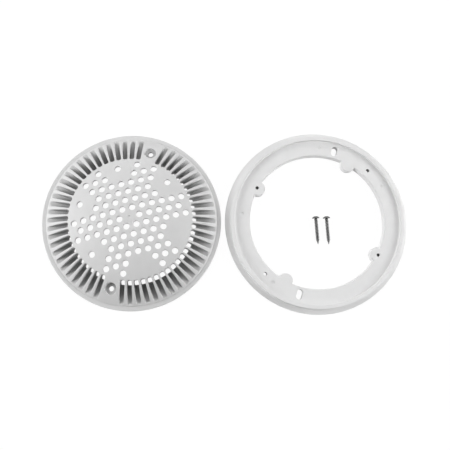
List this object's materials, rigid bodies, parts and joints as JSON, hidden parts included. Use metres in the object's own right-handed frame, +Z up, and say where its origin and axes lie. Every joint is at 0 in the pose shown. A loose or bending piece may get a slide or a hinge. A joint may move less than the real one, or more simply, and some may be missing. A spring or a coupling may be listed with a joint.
{
  "type": "pool drain cover",
  "caption": "Round domed pool drain cover with radial slots and water holes, laid out flat with its stepped mounting ring and cover screws.",
  "frame": {"origin": "on the table, under the middle of the whole layout's box", "axes": "+X from the cover towards the mounting ring, +Z up out of the cover's dome"},
  "size_m": [0.4142, 0.2098, 0.0356],
  "materials": {
    "cover_plastic": "satin moulded, light grey",
    "ring_plastic": "satin moulded, off-white",
    "screw_steel": "plain stainless steel"
  },
  "bodies": {
    "root": {"drain_cover": "cover_plastic", "mounting_ring": "ring_plastic", "cover_screws": "screw_steel"}
  },
  "joints": []
}
